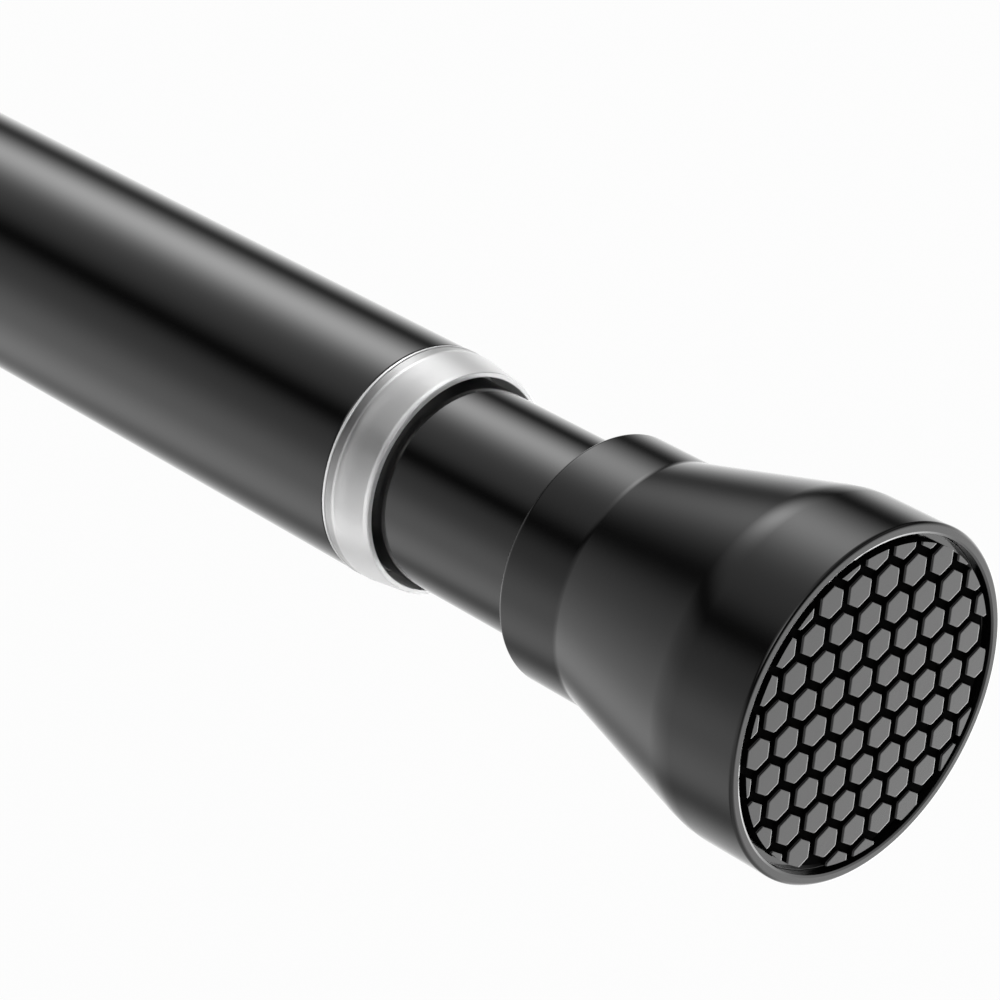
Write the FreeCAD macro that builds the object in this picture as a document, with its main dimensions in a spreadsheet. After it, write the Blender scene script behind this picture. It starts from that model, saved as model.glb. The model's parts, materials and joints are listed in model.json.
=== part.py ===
import FreeCAD, Part
import math
import os

import Sketcher

# A spring tension rod: two telescoping steel tubes with flared end caps and honeycomb rubber
# pads, a clear ring in the outer tube's mouth, and inside a twist lock with a compression spring.
# X runs along the rod from the outer tube's pad face at x = 0 to the inner tube's pad face, and Z
# is up. Lengths are millimetres and angles degrees.
SIZES = {
    # The telescoping pair of tubes, and how much of the inner one shows at rest.
    "outer_tube_od": 22.0,
    "outer_tube_wall": 0.8,
    "outer_tube_length": 361.45,
    "inner_tube_play": 0.8,
    "inner_tube_wall": 0.8,
    "exposed_length": 17.4,
    # The clear ring: a sleeve inside the outer tube and a head as wide as the tube. From a
    # short land the head narrows to a thin lip, which stands clear of the inner tube.
    "ring_head_length": 5.35,
    "ring_land_length": 1.1,
    "ring_sleeve_length": 12.0,
    "ring_lip_wall": 0.3,
    "ring_edge_round": 0.12,
    "ring_mouth_play": 0.76,
    "ring_running_play": 0.08,
    # The flared end caps. Depths are measured back from the rim's front face.
    "cap_length": 30.8,
    "cap_rim_overhang": 4.82,
    "cap_rim_taper": 0.04,
    "cap_rim_length": 7.8,
    "cap_rim_edge_round": 0.45,
    "cap_rim_inner_round": 0.15,
    "cap_shoulder_round": 10.0,
    "cap_crease_depth": 24.5,
    "cap_crease_step": 0.1,
    "cap_crease_length": 0.4,
    "cap_collar_wall": 2.15,
    "cap_collar_round": 0.5,
    "cap_crease_round": 0.15,
    "cap_rim_wall": 0.93,
    "cap_ledge_depth": 0.8,
    "cap_shell_wall": 1.9,
    "cap_hub_wall": 1.4,
    "cap_web_depth": 6.0,
    "cap_web_thickness": 2.0,
    "cap_socket_play": 0.05,
    "cap_boss_wall": 1.2,
    "cap_boss_play": 0.5,
    "cap_rib_thickness": 1.2,
    "cap_rib_bite": 0.3,
    "cap_rib_count": 8,
    "cap_spoke_count": 4,
    "inner_cap_cavity_depth": 16.0,
    "outer_cap_cavity_depth": 11.0,
    # The rubber pads: a disc that carries hexagonal tiles, cut round at its edge.
    "pad_play": 0.74,
    "pad_base_thickness": 0.4,
    "tile_height": 0.55,
    "tile_pitch": 3.28,
    "tile_groove": 0.66,
    "tile_least_share": 0.04,
    "tile_row_turn": -6.42,
    "tile_shift_y": 0.168,
    "tile_shift_z": -0.16,
    "adhesive_thickness": 0.15,
    "adhesive_inset": 0.4,
    # The plugs in the tubes' ends and the screws that hold the caps to them.
    "plug_length": 12.0,
    "plug_tail_clearance": 3.7,
    "plug_pocket_wall": 1.5,
    "plug_hub_radius": 3.6,
    "plug_web_thickness": 3.0,
    "plug_spoke_count": 6,
    "plug_spoke_thickness": 1.4,
    "plug_chamfer": 0.6,
    "screw_radius": 1.6,
    "screw_length": 11.0,
    "screw_point_length": 1.6,
    "screw_point_radius": 0.4,
    "screw_head_radius": 3.1,
    "screw_head_height": 2.2,
    "screw_head_round": 1.1,
    "screw_hole_play": 0.3,
    "screw_cross_width": 0.9,
    "screw_cross_span": 3.4,
    "screw_cross_depth": 1.3,
    # The hexagonal push rod, turned round at both ends, with its nuts and washers.
    "rod_across_flats": 6.0,
    "rod_journal_radius": 3.0,
    "rod_thread_radius": 2.5,
    "rod_end_reach": 1.0,
    "rod_end_chamfer": 0.4,
    "nut_across_flats": 8.0,
    "nut_height": 4.0,
    "nut_chamfer": 0.5,
    "washer_thickness": 1.2,
    "washer_radius": 5.6,
    "washer_hole_play": 0.15,
    "washer_seat_gap": 0.05,
    "seat_washer_play": 2.0,
    # The guide that slides in the outer tube and keeps its turn.
    "glide_length": 10.0,
    "glide_play": 0.08,
    "glide_groove_depth": 1.1,
    "glide_rib_count": 6,
    "glide_rib_width": 3.6,
    "glide_bore_play": 0.05,
    "glide_end_gap": 0.1,
    "glide_chamfer": 0.5,
    # The eccentric core and the split collar that it pushes against the tube's wall. The
    # collar's wall is a share of the tube's inner radius.
    "cam_offset": 0.75,
    "cam_journal_length": 12.4,
    "cam_flange_play": 1.2,
    "cam_flange_length": 3.0,
    "cam_flange_chamfer": 0.5,
    "collar_play": 0.8,
    "collar_wall_share": 0.3284,
    "collar_bore_play": 0.05,
    "collar_end_gap": 0.15,
    "collar_slot_width": 2.0,
    "collar_groove_count": 12,
    "collar_groove_radius": 0.45,
    # The compression spring, with one closed and ground turn at each end.
    "spring_rest_length": 48.0,
    "spring_mean_radius": 6.2,
    "spring_wire_radius": 0.7,
    "spring_free_turns": 10,
    "spring_closed_gap": 0.1,
    # The bush in the inner tube's hidden end, which runs along the push rod.
    "bush_flange_length": 2.0,
    "bush_flange_inset": 0.1,
    "bush_spigot_length": 14.0,
    "bush_chamfer": 0.6,
    "bush_hex_play": 0.1,
}

X_DIRECTION = FreeCAD.Vector(1, 0, 0)
Z_DIRECTION = FreeCAD.Vector(0, 0, 1)
HALF_TURN = 180.0
FULL_TURN = 360.0
HEXAGON_SIDES = 6
HEXAGON_STEP = 2 * math.pi / HEXAGON_SIDES
# Half a hexagon's side as a share of its width across flats.
HALF_SIDE_SHARE = math.tan(math.pi / HEXAGON_SIDES) / 2
EDGE_TOLERANCE = 1e-4

document = FreeCAD.newDocument("spring_tension_rod")
sheet = document.addObject("Spreadsheet::Sheet", "Sizes")


def fill_sheet():
    for row, (name, value) in enumerate(SIZES.items(), start=1):
        sheet.set(f"A{row}", name)
        sheet.set(f"B{row}", str(value))
        sheet.setAlias(f"B{row}", name)
    document.recompute()


class Size:
    """A number together with the sheet expression that gives it."""

    def __init__(self, value, text):
        self.value = value
        self.text = text

    @staticmethod
    def of(item):
        if isinstance(item, Size):
            return item
        return Size(float(item), repr(float(item)))

    def __add__(self, other):
        other = Size.of(other)
        return Size(self.value + other.value, f"({self.text} + {other.text})")

    def __sub__(self, other):
        other = Size.of(other)
        return Size(self.value - other.value, f"({self.text} - {other.text})")

    def __mul__(self, other):
        other = Size.of(other)
        return Size(self.value * other.value, f"({self.text} * {other.text})")

    def __truediv__(self, other):
        other = Size.of(other)
        return Size(self.value / other.value, f"({self.text} / {other.text})")

    def __neg__(self):
        return Size(-self.value, f"(0 - {self.text})")


def size(name):
    return Size(float(sheet.get(name)), f"Sizes.{name}")


def half_step_sine(count):
    """The sine of half the angle between neighbours when count pieces stand round a circle."""
    return Size(math.sin(math.pi / count.value), f"sin(180deg / {count.text})")


def new_body(name):
    body = document.addObject("PartDesign::Body", name)
    body.Label = name
    return body


def origin_feature(body, role):
    return [item for item in body.Origin.OriginFeatures if item.Role == role][0]


def new_sketch(body, name, plane):
    sketch = body.newObject("Sketcher::SketchObject", name)
    sketch.AttachmentSupport = (origin_feature(body, plane), [""])
    sketch.MapMode = "FlatFace"
    return sketch


def hold_distance(sketch, kind, geometry, point, distance):
    constraint = Sketcher.Constraint(kind, -1, 1, geometry, point, distance.value)
    index = sketch.addConstraint(constraint)
    sketch.setExpression(f"Constraints[{index}]", distance.text)


def outline(body, name, corners, plane="XY_Plane"):
    """A closed outline of straight sides whose corners are bound to the sheet."""
    sketch = new_sketch(body, name, plane)
    corners = [(Size.of(across), Size.of(up)) for across, up in corners]
    points = [FreeCAD.Vector(across.value, up.value, 0) for across, up in corners]
    for start, end in zip(points, points[1:] + points[:1]):
        sketch.addGeometry(Part.LineSegment(start, end))
    joints = []
    for side in range(len(points)):
        following = (side + 1) % len(points)
        joints.append(Sketcher.Constraint("Coincident", side, 2, following, 1))
    sketch.addConstraint(joints)
    for side, (across, up) in enumerate(corners):
        hold_distance(sketch, "DistanceX", side, 1, across)
        hold_distance(sketch, "DistanceY", side, 1, up)
    return sketch


def circles(body, name, rounds, plane="YZ_Plane"):
    """Circles given as (centre across, centre up, radius), bound to the sheet."""
    sketch = new_sketch(body, name, plane)
    for index, (across, up, radius) in enumerate(rounds):
        across, up, radius = Size.of(across), Size.of(up), Size.of(radius)
        centre = FreeCAD.Vector(across.value, up.value, 0)
        sketch.addGeometry(Part.Circle(centre, Z_DIRECTION, radius.value))
        hold_distance(sketch, "DistanceX", index, 3, across)
        hold_distance(sketch, "DistanceY", index, 3, up)
        held = sketch.addConstraint(Sketcher.Constraint("Radius", index, radius.value))
        sketch.setExpression(f"Constraints[{held}]", radius.text)
    return sketch


def hexagon(body, name, across_flats):
    """A hexagon about the rod's axis with flats above and below."""
    flat = across_flats / 2
    half_side = across_flats * HALF_SIDE_SHARE
    point = half_side * 2
    corners = [
        (point, 0),
        (half_side, flat),
        (-half_side, flat),
        (-point, 0),
        (-half_side, -flat),
        (half_side, -flat),
    ]
    return outline(body, name, corners, "YZ_Plane")


def revolve(body, name, corners):
    """Turn an outline of (along the axis, radius) corners about the rod's axis."""
    sketch = outline(body, f"{name}_outline", corners)
    turned = body.newObject("PartDesign::Revolution", name)
    turned.Profile = sketch
    turned.ReferenceAxis = (sketch, ["H_Axis"])
    turned.Angle = FULL_TURN
    document.recompute()
    return turned


def groove(body, name, corners):
    sketch = outline(body, f"{name}_outline", corners)
    cut = body.newObject("PartDesign::Groove", name)
    cut.Profile = sketch
    cut.ReferenceAxis = (sketch, ["H_Axis"])
    cut.Angle = FULL_TURN
    document.recompute()
    return cut


def extrude(body, name, sketch, length, symmetric=False):
    solid = body.newObject("PartDesign::Pad", name)
    solid.Profile = sketch
    solid.setExpression("Length", length.text)
    if symmetric:
        solid.SideType = "Symmetric"
    document.recompute()
    return solid


def cut_through(body, name, sketch, length, start=None):
    """Cut a sketch's shape along +X, from the body's origin or from a distance along it."""
    if start is not None:
        sketch.setExpression("AttachmentOffset.Base.z", start.text)
    cut = body.newObject("PartDesign::Pocket", name)
    cut.Profile = sketch
    cut.setExpression("Length", length.text)
    cut.Reversed = True
    before = body.Shape.Volume
    document.recompute()
    if not cut.Shape.Volume < before:
        raise ValueError(f"{name} cuts nothing from {body.Label}")
    return cut


def pattern_round(body, name, feature, count):
    pattern = body.newObject("PartDesign::PolarPattern", name)
    pattern.Originals = [feature]
    pattern.Axis = (origin_feature(body, "X_Axis"), [""])
    pattern.Angle = FULL_TURN
    pattern.setExpression("Occurrences", count.text)
    body.Tip = pattern
    document.recompute()
    return pattern


def ring_edges(shape, places):
    """The names of the circular edges about the axis at each (along, radius) place."""
    names = []
    for index, edge in enumerate(shape.Edges, start=1):
        if not isinstance(edge.Curve, Part.Circle):
            continue
        centre = edge.Curve.Center
        for along, radius in places:
            near = abs(centre.x - along.value) + abs(edge.Curve.Radius - radius.value)
            if near < EDGE_TOLERANCE:
                names.append(f"Edge{index}")
    return names


def soften(body, name, kind, amount, places):
    """Round or chamfer the circular edges at the given (along, radius) places."""
    base = body.Tip
    feature = body.newObject(f"PartDesign::{kind}", name)
    feature.Base = (base, ring_edges(base.Shape, places))
    feature.setExpression("Radius" if kind == "Fillet" else "Size", amount.text)
    document.recompute()
    return feature


def place(item, along, about_face=False):
    """Put a piece at its distance along the rod, turned end for end if it faces the other way."""
    if about_face:
        turn = FreeCAD.Rotation(Z_DIRECTION, HALF_TURN)
        item.Placement = FreeCAD.Placement(FreeCAD.Vector(along.value, 0, 0), turn)
    item.setExpression("Placement.Base.x", along.text)


fill_sheet()

# Radii that several pieces share.
outer_tube_radius = size("outer_tube_od") / 2
outer_tube_bore = outer_tube_radius - size("outer_tube_wall")
inner_tube_radius = outer_tube_bore - size("inner_tube_play")
inner_tube_bore = inner_tube_radius - size("inner_tube_wall")
cap_rim_radius = outer_tube_radius + size("cap_rim_overhang")
cap_recess_radius = cap_rim_radius - size("cap_rim_wall")
pad_radius = cap_recess_radius - size("pad_play")
collar_radius = outer_tube_bore - size("collar_play")
collar_bore = collar_radius - outer_tube_bore * size("collar_wall_share")
cam_journal_radius = collar_bore - size("collar_bore_play")

# How far the tiles stand in front of the cap's rim, and where the tubes seat in their caps.
pad_stack = size("adhesive_thickness") + size("pad_base_thickness") + size("tile_height")
pad_proud = pad_stack - size("cap_ledge_depth")
seat_depth = size("cap_web_depth") + size("cap_web_thickness")

# Stations along the rod at rest, from the outer tube's pad face: the outside first.
outer_cap_front = pad_proud
outer_tube_start = outer_cap_front + seat_depth
outer_tube_end = outer_tube_start + size("outer_tube_length")
ring_front = outer_tube_end + size("ring_head_length")
inner_cap_back = ring_front + size("exposed_length")
inner_cap_front = inner_cap_back + size("cap_length")
inner_tube_end = inner_cap_front - seat_depth

# Then the lock, which starts just clear of the outer tube's plug, and the inner tube behind it.
rod_start = outer_tube_start + size("plug_length") + size("plug_tail_clearance")
stop_nut_start = rod_start + size("rod_end_reach")
stop_washer_start = stop_nut_start + size("nut_height")
glide_start = stop_washer_start + size("washer_thickness") + size("glide_end_gap")
cam_core_start = glide_start + size("glide_length") + size("glide_end_gap")
cam_core_length = size("cam_journal_length") + size("cam_flange_length") * 2
seat_washer_start = cam_core_start + cam_core_length
spring_start = seat_washer_start + size("washer_thickness")
bush_front = spring_start + size("spring_rest_length")
inner_tube_start = bush_front + size("bush_flange_length")
inner_tube_length = inner_tube_end - inner_tube_start
end_washer_start = inner_tube_start + size("bush_spigot_length") + size("washer_seat_gap")
end_nut_start = end_washer_start + size("washer_thickness")
rod_end = end_nut_start + size("nut_height") + size("rod_end_reach")


def make_tube(name, radius, bore, length, start):
    body = new_body(name)
    section = circles(body, f"{name}_section", [(0, 0, radius), (0, 0, bore)])
    extrude(body, f"{name}_wall", section, length)
    place(body, start)
    return body


def make_mouth_ring():
    """The clear ring: its sleeve lines the tube's mouth and its head covers the tube's edge."""
    body = new_body("mouth_ring")
    head = size("ring_head_length")
    land = size("ring_land_length")
    sleeve_back = -size("ring_sleeve_length")
    running_bore = inner_tube_radius + size("ring_running_play")
    mouth_bore = inner_tube_radius + size("ring_mouth_play")
    lip_radius = mouth_bore + size("ring_lip_wall")
    corners = [
        (sleeve_back, running_bore),
        (land, running_bore),
        (land, mouth_bore),
        (head, mouth_bore),
        (head, lip_radius),
        (land, outer_tube_radius),
        (0, outer_tube_radius),
        (0, outer_tube_bore),
        (sleeve_back, outer_tube_bore),
    ]
    revolve(body, "ring_body", corners)
    soften(body, "ring_front_round", "Fillet", size("ring_edge_round"), [(head, lip_radius)])
    place(body, outer_tube_end)
    return body


def make_cap(name, tube_radius, cavity_depth, front, about_face):
    """A flared cap with its rim's front face at its own origin, facing its own +X.

    The moulding is open at the front. A hub takes the tube, ribs join it to the flared shell,
    and the ribs, the hub and the screw's boss all end level with the ledge that carries the pad.
    """
    body = new_body(name)
    back = -size("cap_length")
    ledge = -size("cap_ledge_depth")
    web_front = -size("cap_web_depth")
    seat = -seat_depth
    rim_back = -size("cap_rim_length")
    rim_back_radius = cap_rim_radius - size("cap_rim_taper")
    grip_radius = tube_radius + size("cap_collar_wall")
    crease_radius = grip_radius - size("cap_crease_step")
    crease = -size("cap_crease_depth")
    crease_back = crease - size("cap_crease_length")
    socket = tube_radius + size("cap_socket_play")
    hub_radius = socket + size("cap_hub_wall")
    screw_hole = size("screw_radius") + size("screw_hole_play")
    boss_bore = size("screw_head_radius") + size("cap_boss_play")
    boss_radius = boss_bore + size("cap_boss_wall")
    cavity_back = -cavity_depth
    flare = (rim_back_radius - crease_radius) / (size("cap_crease_depth") - size("cap_rim_length"))
    cavity_radius = crease_radius + flare * (size("cap_crease_depth") - cavity_depth)
    cavity_radius = cavity_radius - size("cap_shell_wall")
    rim_inside = rim_back_radius - size("cap_shell_wall")

    revolve(body, f"{name}_moulding", [
        (0, cap_recess_radius),
        (0, cap_rim_radius),
        (rim_back, rim_back_radius),
        (crease, crease_radius),
        (crease_back, grip_radius),
        (back, grip_radius),
        (back, socket),
        (seat, socket),
        (seat, screw_hole),
        (web_front, screw_hole),
        (web_front, boss_bore),
        (ledge, boss_bore),
        (ledge, boss_radius),
        (web_front, boss_radius),
        (web_front, socket),
        (ledge, socket),
        (ledge, hub_radius),
        (cavity_back, hub_radius),
        (cavity_back, cavity_radius),
        (rim_back, rim_inside),
        (ledge, rim_inside),
        (ledge, cap_recess_radius),
    ])
    soften(body, f"{name}_shoulder", "Fillet", size("cap_shoulder_round"),
           [(rim_back, rim_back_radius)])
    soften(body, f"{name}_rim_edge", "Fillet", size("cap_rim_edge_round"),
           [(Size.of(0), cap_rim_radius)])
    soften(body, f"{name}_rim_inner_edge", "Fillet", size("cap_rim_inner_round"),
           [(Size.of(0), cap_recess_radius)])
    soften(body, f"{name}_collar_edge", "Fillet", size("cap_collar_round"),
           [(back, grip_radius)])
    soften(body, f"{name}_crease_edge", "Fillet", size("cap_crease_round"),
           [(crease_back, grip_radius)])

    bite = size("cap_rib_bite")
    rib_outline = outline(body, f"{name}_rib_outline", [
        (ledge, hub_radius - bite),
        (ledge, rim_inside + bite),
        (rim_back, rim_inside + bite),
        (cavity_back - bite, cavity_radius + bite),
        (cavity_back - bite, hub_radius - bite),
    ])
    rib = extrude(body, f"{name}_rib", rib_outline, size("cap_rib_thickness"), symmetric=True)
    pattern_round(body, f"{name}_ribs", rib, size("cap_rib_count"))
    spoke_outline = outline(body, f"{name}_spoke_outline", [
        (ledge, boss_radius - bite),
        (ledge, socket + bite),
        (web_front - bite, socket + bite),
        (web_front - bite, boss_radius - bite),
    ])
    spoke = extrude(body, f"{name}_spoke", spoke_outline, size("cap_rib_thickness"), symmetric=True)
    pattern_round(body, f"{name}_spokes", spoke, size("cap_spoke_count"))
    place(body, front, about_face)
    return body


def make_plug(name, bore, start, about_face):
    """A plug pressed into a tube's end: a rim and a screw hub joined by a web and spokes."""
    body = new_body(name)
    length = size("plug_length")
    web = size("plug_web_thickness")
    rim_inside = bore - size("plug_pocket_wall")
    hub = size("plug_hub_radius")
    revolve(body, f"{name}_moulding", [
        (0, size("screw_radius")),
        (0, bore),
        (length, bore),
        (length, rim_inside),
        (web, rim_inside),
        (web, hub),
        (length, hub),
        (length, size("screw_radius")),
    ])
    soften(body, f"{name}_lead_in", "Chamfer", size("plug_chamfer"), [(length, bore)])
    spoke_outline = outline(body, f"{name}_spoke_outline", [
        (web - size("cap_rib_bite"), hub - size("cap_rib_bite")),
        (length - size("plug_chamfer"), hub - size("cap_rib_bite")),
        (length - size("plug_chamfer"), rim_inside + size("cap_rib_bite")),
        (web - size("cap_rib_bite"), rim_inside + size("cap_rib_bite")),
    ])
    spoke = extrude(body, f"{name}_spoke", spoke_outline, size("plug_spoke_thickness"),
                    symmetric=True)
    pattern_round(body, f"{name}_spokes", spoke, size("plug_spoke_count"))
    place(body, start, about_face)
    return body


def make_screw(name, seat, about_face):
    """A self-tapping screw with a cross recess, its head's underside at its own origin."""
    body = new_body(name)
    head = -size("screw_head_height")
    length = size("screw_length")
    radius = size("screw_radius")
    revolve(body, f"{name}_shank", [
        (head, 0),
        (head, size("screw_head_radius")),
        (0, size("screw_head_radius")),
        (0, radius),
        (length - size("screw_point_length"), radius),
        (length, size("screw_point_radius")),
        (length, 0),
    ])
    soften(body, f"{name}_dome", "Fillet", size("screw_head_round"),
           [(head, size("screw_head_radius"))])
    long_half = size("screw_cross_span") / 2
    short_half = size("screw_cross_width") / 2
    cross = outline(body, f"{name}_cross", [
        (long_half, -short_half),
        (long_half, short_half),
        (short_half, short_half),
        (short_half, long_half),
        (-short_half, long_half),
        (-short_half, short_half),
        (-long_half, short_half),
        (-long_half, -short_half),
        (-short_half, -short_half),
        (-short_half, -long_half),
        (short_half, -long_half),
        (short_half, -short_half),
    ], "YZ_Plane")
    cut_through(body, f"{name}_recess", cross, size("screw_cross_depth"), start=head)
    place(body, seat, about_face)
    return body


def make_adhesive(name, start, about_face):
    """The thin adhesive disc behind a pad."""
    body = new_body(name)
    radius = pad_radius - size("adhesive_inset")
    disc = circles(body, f"{name}_disc", [(0, 0, radius)])
    extrude(body, f"{name}_film", disc, size("adhesive_thickness"))
    place(body, start, about_face)
    return body


def hexagon_face(centre_y, centre_z, corner_radius, turn):
    corners = []
    for index in range(HEXAGON_SIDES + 1):
        angle = turn + HEXAGON_STEP / 2 + index * HEXAGON_STEP
        corners.append(FreeCAD.Vector(0, centre_y + corner_radius * math.cos(angle),
                                      centre_z + corner_radius * math.sin(angle)))
    return Part.Face(Part.makePolygon(corners))


def tile_centres(reach, pitch, turn, shift_y, shift_z):
    """The centres of a hexagonal lattice that lie within reach of the pad's middle."""
    steps = 2 * math.ceil(reach / pitch)
    along = FreeCAD.Vector(0, math.cos(turn), math.sin(turn)) * pitch
    slant = turn + HEXAGON_STEP
    across = FreeCAD.Vector(0, math.cos(slant), math.sin(slant)) * pitch
    centres = []
    for column in range(-steps, steps + 1):
        for row in range(-steps, steps + 1):
            centre = along * column + across * row
            centre = centre + FreeCAD.Vector(0, shift_y, shift_z)
            if centre.Length < reach:
                centres.append(centre)
    return centres


def make_pad(name, back, about_face):
    """A rubber pad: a disc with raised hexagonal tiles, those at the edge cut by its circle."""
    radius = pad_radius.value
    base_thickness = sheet.get("pad_base_thickness")
    height = sheet.get("tile_height")
    pitch = sheet.get("tile_pitch")
    corner_radius = (pitch - sheet.get("tile_groove")) * 2 * HALF_SIDE_SHARE
    turn = math.radians(sheet.get("tile_row_turn"))
    rim = Part.makeCylinder(radius, height, FreeCAD.Vector(base_thickness, 0, 0), X_DIRECTION)
    full_volume = 0
    tiles = []
    centres = tile_centres(radius + corner_radius, pitch, turn,
                           sheet.get("tile_shift_y"), sheet.get("tile_shift_z"))
    for centre in centres:
        face = hexagon_face(centre.y, centre.z, corner_radius, turn)
        face.translate(FreeCAD.Vector(base_thickness, 0, 0))
        tile = face.extrude(X_DIRECTION * height)
        full_volume = tile.Volume
        if centre.Length + corner_radius > radius:
            tile = tile.common(rim)
        if tile.Volume > full_volume * sheet.get("tile_least_share"):
            tiles.append(tile)
    disc = Part.makeCylinder(radius, base_thickness, FreeCAD.Vector(0, 0, 0), X_DIRECTION)
    pad = document.addObject("Part::Feature", name)
    pad.Label = name
    pad.Shape = disc.multiFuse(tiles).removeSplitter()
    place(pad, back, about_face)
    return pad


def make_nut(name, start):
    body = new_body(name)
    blank = hexagon(body, f"{name}_blank", size("nut_across_flats"))
    extrude(body, f"{name}_prism", blank, size("nut_height"))
    hole = circles(body, f"{name}_hole", [(0, 0, size("rod_thread_radius"))])
    cut_through(body, f"{name}_bore", hole, size("nut_height"))
    flat = size("nut_across_flats") / 2
    wide = size("nut_across_flats")
    drop = size("nut_chamfer")
    height = size("nut_height")
    groove(body, f"{name}_corner_start", [(0, flat), (drop, wide), (0, wide)])
    groove(body, f"{name}_corner_end", [(height, flat), (height, wide), (height - drop, wide)])
    place(body, start)
    return body


def make_washer(name, radius, bore, start):
    body = new_body(name)
    ring = circles(body, f"{name}_ring", [(0, 0, radius), (0, 0, bore)])
    extrude(body, f"{name}_plate", ring, size("washer_thickness"))
    place(body, start)
    return body


def make_push_rod():
    """The hexagonal rod that carries the twist, turned round for the glide and both threads."""
    body = new_body("push_rod")
    length = rod_end - rod_start
    journal_start = stop_washer_start + size("washer_thickness") - rod_start
    hexagon_start = cam_core_start - rod_start
    hexagon_end = end_washer_start - rod_start
    bar = hexagon(body, "rod_section", size("rod_across_flats"))
    extrude(body, "rod_bar", bar, length)
    clear = size("rod_across_flats")
    thread = size("rod_thread_radius")
    journal = size("rod_journal_radius")
    chamfer = size("rod_end_chamfer")
    groove(body, "rod_front_turning", [
        (0, thread - chamfer),
        (chamfer, thread),
        (journal_start, thread),
        (journal_start, journal),
        (hexagon_start, journal),
        (hexagon_start, clear),
        (0, clear),
    ])
    groove(body, "rod_back_turning", [
        (hexagon_end, thread),
        (length - chamfer, thread),
        (length, thread - chamfer),
        (length, clear),
        (hexagon_end, clear),
    ])
    place(body, rod_start)
    return body


def make_glide():
    """The guide on the rod's tail: ribs run along the tube's bore and a round hole on the rod."""
    body = new_body("glide_bush")
    length = size("glide_length")
    bore = size("rod_journal_radius") + size("glide_bore_play")
    rib_radius = outer_tube_bore - size("glide_play")
    core_radius = rib_radius - size("glide_groove_depth")
    section = circles(body, "glide_section", [(0, 0, rib_radius), (0, 0, bore)])
    extrude(body, "glide_blank", section, length)
    soften(body, "glide_lead_in", "Chamfer", size("glide_chamfer"),
           [(Size.of(0), rib_radius), (length, rib_radius)])
    half_gap = rib_radius * half_step_sine(size("glide_rib_count")) - size("glide_rib_width") / 2
    slot = outline(body, "glide_slot_outline", [
        (-half_gap, core_radius),
        (half_gap, core_radius),
        (half_gap, rib_radius + size("glide_groove_depth")),
        (-half_gap, rib_radius + size("glide_groove_depth")),
    ], "YZ_Plane")
    cut = cut_through(body, "glide_slot", slot, length)
    pattern_round(body, "glide_slots", cut, size("glide_rib_count"))
    place(body, glide_start)
    return body


def make_cam_core():
    """The eccentric core: a journal set off the axis between two round flanges."""
    body = new_body("cam_core")
    flange = size("cam_flange_length")
    journal = size("cam_journal_length")
    radius = outer_tube_bore - size("cam_flange_play")
    front = circles(body, "core_front_section", [(0, 0, radius)])
    extrude(body, "core_front_flange", front, flange)
    middle = circles(body, "core_journal_section",
                     [(0, size("cam_offset"), cam_journal_radius)])
    middle.setExpression("AttachmentOffset.Base.z", flange.text)
    extrude(body, "core_journal", middle, journal)
    back = circles(body, "core_back_section", [(0, 0, radius)])
    back.setExpression("AttachmentOffset.Base.z", (flange + journal).text)
    extrude(body, "core_back_flange", back, flange)
    key = hexagon(body, "core_key", size("rod_across_flats"))
    cut_through(body, "core_bore", key, cam_core_length)
    soften(body, "core_flange_edges", "Chamfer", size("cam_flange_chamfer"),
           [(Size.of(0), radius), (cam_core_length, radius)])
    place(body, cam_core_start)
    return body


def make_cam_collar():
    """The split collar: round about the tube's axis outside, bored about the cam's axis."""
    body = new_body("cam_collar")
    length = size("cam_journal_length") - size("collar_end_gap") * 2
    section = circles(body, "collar_section",
                      [(0, 0, collar_radius), (0, size("cam_offset"), collar_bore)])
    extrude(body, "collar_ring", section, length)
    dimple = circles(body, "collar_groove_section",
                     [(collar_radius, 0, size("collar_groove_radius"))])
    cut = cut_through(body, "collar_groove", dimple, length)
    pattern_round(body, "collar_grooves", cut, size("collar_groove_count"))
    half_slot = size("collar_slot_width") / 2
    split = outline(body, "collar_split_outline", [
        (-half_slot, 0),
        (half_slot, 0),
        (half_slot, collar_radius * 2),
        (-half_slot, collar_radius * 2),
    ], "YZ_Plane")
    cut_through(body, "collar_split", split, length)
    place(body, cam_core_start + size("cam_flange_length") + size("collar_end_gap"))
    return body


def add_coils(body, name, start, height, turns):
    """Wind the wire from a place along the axis over a height."""
    section = circles(body, f"{name}_wire", [(start, size("spring_mean_radius"),
                                              size("spring_wire_radius"))], "XY_Plane")
    coils = body.newObject("PartDesign::AdditiveHelix", name)
    coils.Profile = section
    coils.ReferenceAxis = (section, ["H_Axis"])
    coils.Mode = "pitch-height-angle"
    coils.setExpression("Height", height.text)
    coils.setExpression("Pitch", (height / turns).text)
    document.recompute()
    return coils


def make_spring():
    """The compression spring, wound round the axis with a closed turn ground flat at each end."""
    body = new_body("compression_spring")
    wire = size("spring_wire_radius")
    closed = wire * 2 + size("spring_closed_gap")
    length = size("spring_rest_length")
    # The wire starts centred on each end's plane, and grinding takes off what stands past it.
    open_height = length - closed * 2
    add_coils(body, "closed_front_turn", Size.of(0), closed, Size.of(1))
    add_coils(body, "open_turns", closed, open_height, size("spring_free_turns"))
    add_coils(body, "closed_back_turn", closed + open_height, closed, Size.of(1))
    wide = size("spring_mean_radius") * 2
    front = circles(body, "front_grinding", [(0, 0, wide)])
    grind = closed * 2
    cut_through(body, "front_ground_face", front, grind, start=-grind)
    back = circles(body, "back_grinding", [(0, 0, wide)])
    cut_through(body, "back_ground_face", back, grind, start=length)
    place(body, spring_start)
    return body


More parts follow.
